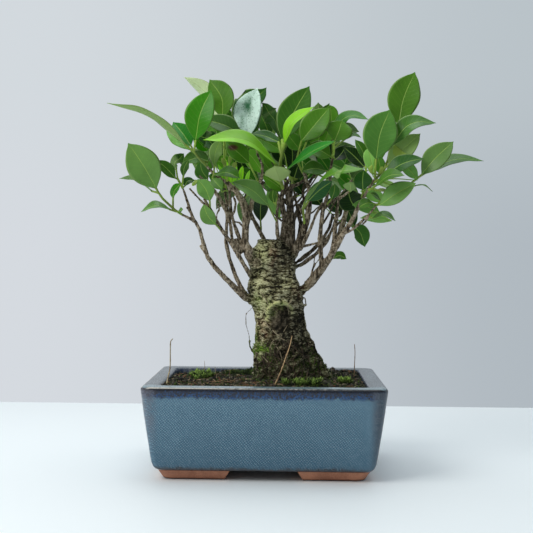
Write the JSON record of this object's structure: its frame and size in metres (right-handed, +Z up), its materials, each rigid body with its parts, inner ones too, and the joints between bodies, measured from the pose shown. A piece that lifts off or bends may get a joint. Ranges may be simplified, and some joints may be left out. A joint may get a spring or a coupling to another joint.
{
  "type": "potted bonsai tree",
  "caption": "Small fig bonsai with a thick scarred trunk, many upright branches and broad glossy leaves, growing in a blue-glazed rectangular pot on feet.",
  "frame": {"origin": "Middle of the bounding box of the tree and its pot together, on the ground under the pot's feet. The pot's own middle is 27 mm to the left and 18 mm nearer to the viewer, because the crown spreads unevenly.", "axes": "+Z up. X runs along the pot's long side, and -Y is the side that the picture shows."},
  "size_m": [0.3194, 0.186, 0.352],
  "materials": {
    "glazed_pot": "gloss",
    "soil": "matte",
    "drain_mesh": "matte",
    "copper_wire": "satin",
    "moss": "matte",
    "dry_stem": "matte",
    "bark": "matte",
    "foliage": "satin"
  },
  "bodies": {
    "root": {"pot": "glazed_pot", "soil": "soil", "drain_mesh_left": "drain_mesh", "drain_mesh_right": "drain_mesh", "mesh_wire_left": "copper_wire", "mesh_wire_right": "copper_wire", "moss_left": "moss", "moss_front": "moss", "moss_right": "moss", "moss_back": "moss", "dry_stem_left": "dry_stem", "dry_straw": "dry_stem", "dry_stem_right": "dry_stem", "trunk_and_branches": "bark", "leaves_left_high": "foliage", "leaves_left_low": "foliage", "leaves_left_mid": "foliage", "leaves_left_hanging": "foliage", "leaves_left_round": "foliage", "leaves_left_dark": "foliage", "leaves_left_node": "foliage", "leaves_left_buds": "foliage", "leaves_left_crown": "foliage", "leaves_centre_crown": "foliage", "leaves_centre_brown_spot": "foliage", "leaves_centre_drooping": "foliage", "leaves_centre_dark_left": "foliage", "leaves_centre_small": "foliage", "leaves_centre_top": "foliage", "leaves_centre_top_back": "foliage", "leaves_centre_dark": "foliage", "leaves_right_crown": "foliage", "leaves_right_emerald": "foliage", "leaves_right_grey": "foliage", "leaves_right_drooping": "foliage", "leaves_right_small": "foliage", "leaves_right_olive": "foliage", "leaves_right_inner": "foliage", "leaves_right_shade": "foliage", "leaves_right_pale": "foliage", "leaves_right_low": "foliage", "leaves_right_curl": "foliage", "leaves_right_behind": "foliage", "leaves_right_lowest": "foliage", "leaves_right_flat": "foliage", "leaves_right_high": "foliage", "leaves_right_mid": "foliage", "leaves_right_light": "foliage", "leaves_back_top": "foliage", "leaves_back_left_end": "foliage", "leaves_back_left_side": "foliage", "leaves_back_right_end": "foliage", "leaves_back_right_side": "foliage", "leaves_back_low_end": "foliage", "leaves_back_low_left_end": "foliage"}
  },
  "joints": []
}
